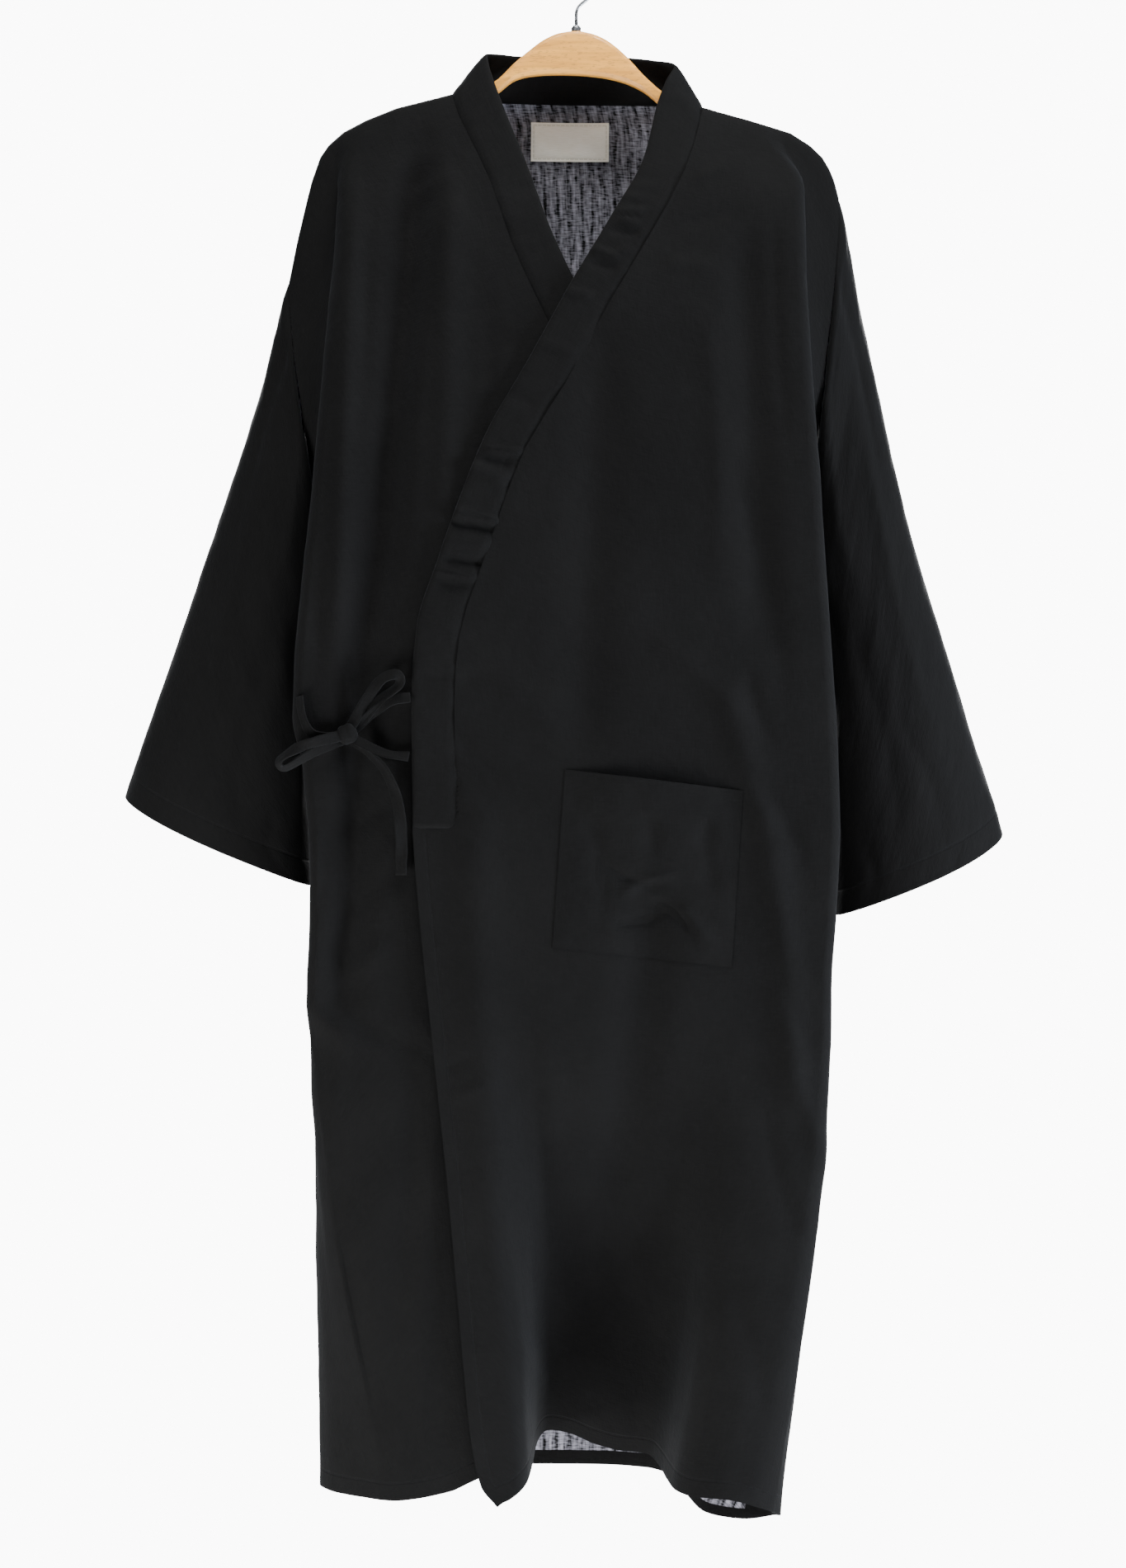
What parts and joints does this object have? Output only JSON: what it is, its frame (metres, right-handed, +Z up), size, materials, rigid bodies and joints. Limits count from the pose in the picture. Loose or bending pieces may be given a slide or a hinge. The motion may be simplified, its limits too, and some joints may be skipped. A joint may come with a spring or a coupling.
{
  "type": "wrap robe on a hanger",
  "caption": "Black cotton kimono-style wrap robe with wide sleeves, band collar, patch pocket and side tie bow, hanging on a wooden hanger.",
  "frame": {"origin": "inside top of the hanger's hook, where the rail carries it", "axes": "+Z up, -Y the front of the robe, +X towards the wearer's left"},
  "size_m": [0.7168, 0.1814, 1.2708],
  "materials": {
    "black_cloth": "matt crinkled cotton gauze",
    "label": "woven label, bare",
    "beech": "clear satin varnish",
    "steel": "plated wire"
  },
  "bodies": {
    "root": {"back": "black_cloth", "under_front": "black_cloth", "over_front": "black_cloth", "collar": "black_cloth", "sleeve_left": "black_cloth", "sleeve_right": "black_cloth", "pocket": "black_cloth", "tie_side": "black_cloth", "tie_front": "black_cloth", "bow": "black_cloth", "neck_label": "label", "hanger_wood": "beech", "hanger_hook": "steel"}
  },
  "joints": []
}
